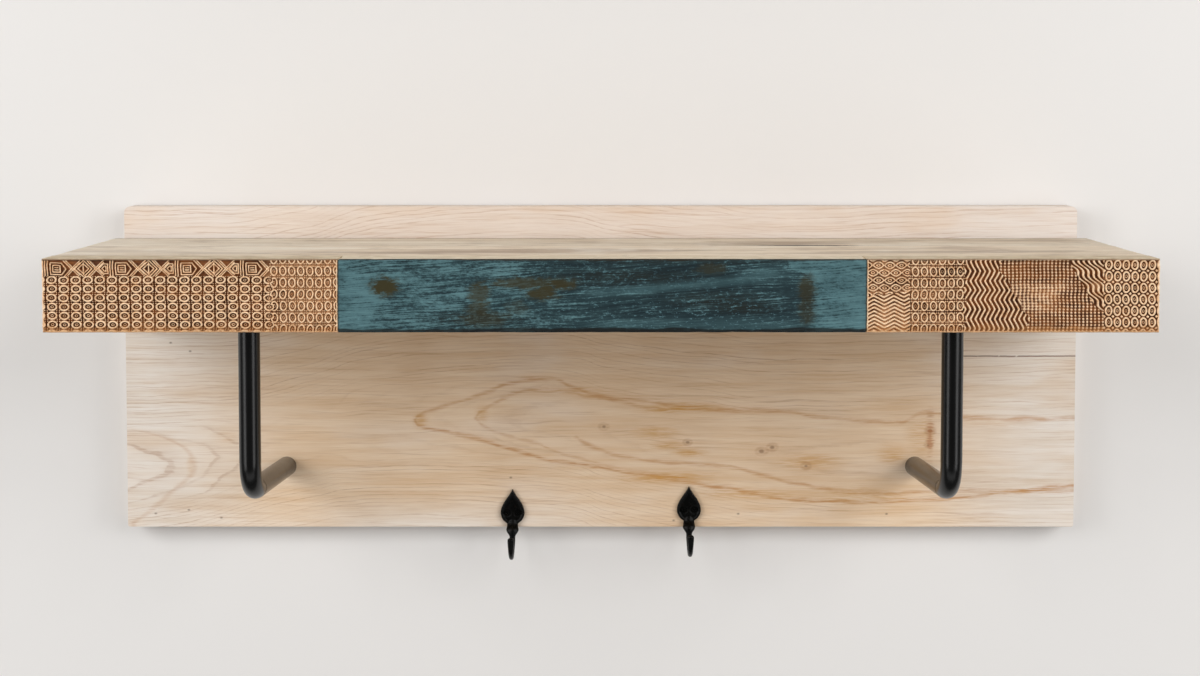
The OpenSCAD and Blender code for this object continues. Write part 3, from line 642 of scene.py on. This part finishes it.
def carved_block(node_name, name, pattern, bands, marks):
    """A block whose front is a fine grid pushed back from the face by the pattern's depth."""
    low, high = shelf_box(node_name)
    width, rise, front, back = high[0] - low[0], high[2] - low[2], low[1], high[1]
    columns, rows = round(width / GRID_STEP), round(rise / GRID_STEP)
    x, down = np.meshgrid(np.linspace(0, width, columns), np.linspace(0, rise, rows), indexing="ij")
    wobble = np.array([noise.noise((i * 0.04, 3.3, 0)) for i in range(columns)])[:, None]
    sag = np.array([noise.noise((j * 0.06, 7.7, 0)) for j in range(rows)])[None, :]
    height = pattern(x + sag * 0.5, down + wobble * 0.35)
    # A plain line round the face, with its arris worn and nicked
    edge = np.minimum(np.minimum(x, width - x), np.minimum(down, rise - down))
    height = np.maximum(height, np.clip((EDGE_LINE - edge) / 0.5, 0, 1))
    nick = np.array([[noise.fractal((a / 5, b / 5, front), 0.8, 2.2, 3) for b in down[0]]
                     for a in x[:, 0]])
    arris = 1.1 + 0.9 * np.clip(nick, -0.6, 1)
    drop = np.clip(1 - edge / arris, 0, 1)
    fall = arris * (1 - np.sqrt(1 - drop * drop))
    depth = np.maximum(CARVE_DEPTH * (1 - height), 0) + fall + 0.12 * np.maximum(0.5 + nick * 0.5, 0)
    points = np.stack([low[0] + x, front + depth, high[2] - down], axis=2).reshape(-1, 3)
    number = np.arange(columns * rows).reshape(columns, rows)
    faces = list(zip(number[:-1, :-1].ravel(), number[:-1, 1:].ravel(),
                     number[1:, 1:].ravel(), number[1:, :-1].ravel()))
    # Sides and back close the block behind the carved face
    rim = [*number[:, 0], *number[-1, 1:], *number[-2::-1, -1], *number[0, -2:0:-1]]
    rings = [rim]
    for y in (front + 4.5, back):
        start = len(points)
        ring = points[rim].copy()
        ring[:, 1] = y
        points = np.concatenate([points, ring])
        rings.append(list(range(start, start + len(rim))))
    for near, far in zip(rings, rings[1:]):
        for i in range(len(rim)):
            j = (i + 1) % len(rim)
            faces.append((near[i], near[j], far[j], far[i]))
    faces.append(tuple(reversed(rings[-1])))
    piece = mesh_object(name, points, [tuple(int(n) for n in face) for face in faces],
                        carved_wood(name + "_stain", front, bands, marks))
    piece.data.set_sharp_from_angle(angle=math.radians(60))
    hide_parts(node_name)


carved_block("left_carved_block", "left_block_carving", left_pattern,
             [(-400, 0.1), (-300, 0.06), (-252, 0.1), (-236, 0.26), (-212, 0.38), (-189, 0.38)],
             [(-222, 4, 30, 4, 0.25), (-205, -14, 18, 6, 0.2), (-300, -32, 70, 6, 0.14),
              (-372, -2, 26, 16, -0.04), (-340, 10, 60, 4, -0.1)])
carved_block("right_carved_block", "right_block_carving", right_pattern,
             [(190, 0.16), (222, 0.26), (254, 0.22), (268, 0.02), (294, -0.04), (334, -0.02),
              (346, 0.05), (400, 0.06)],
             [(205, -30, 16, 14, 0.35), (200, 8, 9, 8, 0.2), (322, -10, 32, 12, 0.04),
              (240, -12, 18, 7, 0.15), (355, -6, 6, 5, 0.5), (364, 0, 6, 4, 0.4),
              (247, -30, 20, 5, 0.15), (315, 6, 52, 15, -0.08), (325, -34, 30, 5, -0.14),
              (246, 4, 16, 8, -0.1)])


# Brackets. Round mild-steel bar bent once, painted satin black; each hangs from the shelf by a
# hidden stud and is bolted through the back board.

def black_bar():
    f = Finish("black_bar", roughness=0.3, specular=0.45)
    grain = f.noise(f.x / 0.6, f.y / 0.6, f.z / 0.6, detail=2)
    haze = f.noise(f.x / 9, f.y / 9, f.z / 22, detail=3, seed=2)
    return f.paint(f.blend(haze, "#060504", "#020202"), roughness=haze * 0.08 + 0.2,
                   height=grain, relief=0.01)


bar = black_bar()
for side in ("left", "right"):
    dress(side + "_bracket", bar)


# Hooks. Two small hooks cast in one piece in black iron: a leaf-shaped plate with a raised rim, a
# bead under it, and a crook that ends in a slightly swelling, blunt tip. Two screws hold each.

LEAF_R, LEAF_LEVEL, HOOK_RISE, LEAF_T, NECK_R = 9.9, 13.2, 33.4, 3.4, 4.3
BEAD_R, STEM_R, CROOK_R, CROOK_LEVEL, STEM_OFF = 5.2, 2.6, 14.0, 5.05, 6.0
TIP_LENGTH, TIP_LEAN, SCREW_SPAN, SEAT_D, SEAT_DEPTH = 8.8, 15.0, 8.5, 6.0, 0.55
HOOK_SPAN, HOOK_UNEVENNESS, BOARD_T, CAST_VOXEL = 146.0, 2.4, 20.0, 0.36


def leaf_outline(steps=14):
    """Half the leaf's outline from the neck up to the point, about the widest level."""
    start = -math.acos(NECK_R / LEAF_R)
    low = [(LEAF_R * math.cos(start * (1 - i / steps)), LEAF_R * math.sin(start * (1 - i / steps)))
           for i in range(steps)]
    top = [(LEAF_R * math.cos(math.pi / 2 * u) ** 1.4, (HOOK_RISE - LEAF_LEVEL) * u)
           for u in np.linspace(0, 0.97, 2 * steps)]
    return low + top


def leaf_skin():
    """Rings that shrink from the foot on the board, up over the rim and into the dished middle."""
    half = leaf_outline()
    outline = half + [(0, HOOK_RISE - LEAF_LEVEL)] + [(-x, z) for x, z in reversed(half)]
    rings = [(0, 0.0), (0.985, 0.0), (1, 0.2), (1, 0.62), (0.97, 0.85), (0.92, 0.97), (0.86, 0.99),
             (0.8, 0.9), (0.72, 0.82), (0.55, 0.86), (0.3, 0.94), (0, 0.97)]
    points, faces, count = [], [], len(outline)
    for scale, level in rings:
        for x, z in outline if scale else [(0, 0)]:
            x, z = x * scale, z * scale
            sink = max(ridge(math.hypot(x - side * SCREW_SPAN / 2, z), SEAT_D, 1.2) for side in (-1, 1))
            y = LEAF_T * level - SEAT_DEPTH * float(sink) * (level > 0.5)
            points.append((x, -y, z + LEAF_LEVEL))
    for k in range(1, len(rings) - 2):
        for i in range(count):
            j, near, far = (i + 1) % count, 1 + (k - 1) * count, 1 + k * count
            faces.append((near + j, near + i, far + i, far + j))
    last = len(points) - 1
    for i in range(count):
        j = (i + 1) % count
        faces.append((0, 1 + i, 1 + j))
        faces.append((last, last - count + j, last - count + i))
    return points, faces


def arm_skin(sides=20, finer=4):
    """Oval rings along the stem, round the crook and up the tip."""
    end = 360 - TIP_LEAN
    bend_y = STEM_OFF + CROOK_R
    rings = [
        (LEAF_T * 0.45, LEAF_LEVEL * 0.75, 0, NECK_R * 0.45, LEAF_T * 0.3),
        (LEAF_T * 0.7, LEAF_LEVEL * 0.35, 0, NECK_R, LEAF_T * 0.6),
        (STEM_OFF * 0.7, LEAF_LEVEL * 0.1, 0, BEAD_R * 0.93, STEM_R * 1.1),
        (STEM_OFF * 0.8, -CROOK_LEVEL * 0.1, 0, BEAD_R, STEM_R * 1.25),
        (STEM_OFF * 0.93, -CROOK_LEVEL * 0.55, 0, BEAD_R * 0.8, STEM_R * 1.15)]
    for turn in np.linspace(180, end, 11):
        a = math.radians(turn)
        rings.append((bend_y + CROOK_R * math.cos(a), CROOK_R * math.sin(a) - CROOK_LEVEL, turn - 180,
                      STEM_R * (1 - 0.27 * math.sin(a - math.pi)), STEM_R * 0.88))
    end_y, end_z = rings[-1][0], rings[-1][1]
    lean = math.radians(TIP_LEAN)
    for share, wide, deep in ((0.35, 1, 0.85), (0.75, 1.04, 0.8), (0.93, 0.85, 0.65), (1, 0.45, 0.35)):
        rings.append((end_y + math.sin(lean) * share * TIP_LENGTH,
                      end_z + math.cos(lean) * share * TIP_LENGTH,
                      end - 180, wide * STEM_R, deep * STEM_R))
    # A smooth run of finer rings through these
    rings = np.array(rings)
    at = np.arange(len(rings))
    fine = np.linspace(0, at[-1], at[-1] * finer + 1)
    slopes = np.gradient(rings, axis=0)
    smooth = []
    for value in fine:
        k = min(int(value), len(rings) - 2)
        t = value - k
        smooth.append(rings[k] * (1 + 2 * t) * (1 - t) ** 2 + slopes[k] * t * (1 - t) ** 2
                      + rings[k + 1] * t * t * (3 - 2 * t) + slopes[k + 1] * t * t * (t - 1))
    points, faces = [], []
    for y, z, turn, wide, deep in smooth:
        for i in range(sides):
            a = 2 * math.pi * i / sides
            reach = deep * math.sin(a)
            points.append((wide * math.cos(a), -(y + reach * math.cos(math.radians(turn))),
                           z + reach * math.sin(math.radians(turn))))
    for k in range(len(smooth) - 1):
        for i in range(sides):
            j = (i + 1) % sides
            faces.append((k * sides + j, k * sides + i, (k + 1) * sides + i, (k + 1) * sides + j))
    faces.append(tuple(range(sides)))
    faces.append(tuple(reversed(range(len(points) - sides, len(points)))))
    return points, faces


def black_iron():
    f = Finish("black_iron", roughness=0.3, specular=0.14)
    grain = f.noise(f.x / 1.6, f.y / 1.6, f.z / 1.6, detail=4, roughness=0.6)
    worn = f.noise(f.x / 4, f.y / 4, f.z / 4, detail=3, seed=4).fade(0.55, 0.75)
    return f.paint(f.blend(worn, "#030302", "#140d08"), roughness=grain * 0.25 + 0.16,
                   height=grain, relief=0.3)


iron = black_iron()
board_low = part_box("back_board")[0].z / MM
for side, sign in (("left", -1), ("right", 1)):
    points, faces = leaf_skin()
    arm_points, arm_faces = arm_skin()
    faces = faces + [tuple(n + len(points) for n in face) for face in arm_faces]
    place = np.array([sign * HOOK_SPAN / 2, -BOARD_T, board_low + sign * HOOK_UNEVENNESS / 2])
    points = np.array(points + arm_points) + place
    hook = mesh_object(side + "_hook_cast", points, faces, iron)
    skin = hook.modifiers.new("cast", "REMESH")
    skin.mode, skin.voxel_size, skin.use_smooth_shade = "VOXEL", CAST_VOXEL * MM, True
    soften = hook.modifiers.new("soften", "SMOOTH")
    soften.factor, soften.iterations = 0.5, 3
    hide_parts(side + "_hook")
    for screw in ("a", "b"):
        dress(f"{side}_hook_screw_{screw}", iron)


# Hidden hardware. Studs, bolts, screws and keyhole plates of zinc-plated steel. The studs and bolts
# hold the brackets, the screws the shelf; the plates are let into the back of the board.

def zinc():
    f = Finish("zinc", roughness=0.35, metallic=1.0)
    grain = f.noise(f.x / 3, f.y / 3, f.z / 3, detail=2)
    return f.paint(f.blend(grain, "#b9bcbf", "#8f9498"), height=grain, relief=0.02)


plate = zinc()
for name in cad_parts:
    if "stud" in name or "bolt" in name or "hanger" in name or "shelf_screw" in name:
        dress(name, plate)


# Wall, light and camera. A plain wall in off-white emulsion, with an opening that the board covers,
# so that the fixings show from behind. Broad soft light comes from both sides and a little from
# below, where two low lamps draw the narrow highlights on the bars; one lamp lights the back.

WALL_REACH, WALL_GAP = 4, 0.0012
OPENING_W, OPENING_LOW, OPENING_HIGH = 0.76, -0.214, 0.028


def oblong(left, right, low, high):
    """The corners of an upright oblong in the wall's face."""
    return [(x, WALL_GAP, z) for x, z in ((left, low), (right, low), (right, high), (left, high))]


corners = oblong(-WALL_REACH, WALL_REACH, -WALL_REACH, WALL_REACH)
corners += oblong(-OPENING_W / 2, OPENING_W / 2, OPENING_LOW, OPENING_HIGH)
mesh = bpy.data.meshes.new("wall")
mesh.from_pydata(corners, [], [(0, 1, 5, 4), (1, 2, 6, 5), (2, 3, 7, 6), (3, 0, 4, 7)])
mesh.materials.append(Finish("wall_paint", roughness=0.9, specular=0.1).paint("#e7e4e1"))
wall = bpy.data.objects.new("wall", mesh)
bpy.context.collection.objects.link(wall)


def softbox(name, place, width, height, power):
    """A lamp of that size in metres and power in watts, turned towards the middle of the shelf."""
    data = bpy.data.lights.new(name, "AREA")
    data.shape, data.size, data.size_y, data.energy = "RECTANGLE", width, height, power
    lamp = bpy.data.objects.new(name, data)
    lamp.location = place
    middle = np.array((0, 0, -0.1))
    lamp.rotation_euler = Vector(middle - np.array(place)).to_track_quat("-Z", "Y").to_euler()
    lamp.visible_camera = False
    bpy.context.collection.objects.link(lamp)


for side in (-1, 1):
    softbox("window", (side * 1.75, -2.7, 1.35), 1.2, 1.7, 25)
    softbox("side_fill", (side * 1.9, -1.3, 0.55), 0.7, 1.4, 21.5)
    softbox("low_fill", (side * 1.42, -1.45, -0.48), 0.7, 0.9, 3.9)
softbox("floor_bounce", (0, -1.2, -1.3), 2.6, 0.6, 3.0)
softbox("rear", (0, 2.6, 1.0), 2.4, 1.6, 45)

world = bpy.data.worlds.new("studio")
world.use_nodes = True
glow = world.node_tree.nodes["Background"].inputs
glow["Color"].default_value, glow["Strength"].default_value = rgb("#eef0f2"), 0.13
scene = bpy.context.scene
scene.world = world
scene.view_settings.view_transform = "Standard"

camera = bpy.data.objects.new("camera", bpy.data.cameras.new("camera"))
camera.data.sensor_width = 36
camera.data.lens = 55.26
camera.data.shift_y = -0.1205
camera.location = (-0.0006, -1.5323, 0.1272)
camera.rotation_euler = (math.radians(90 - 2.894), 0, 0)
bpy.context.collection.objects.link(camera)
scene.camera = camera
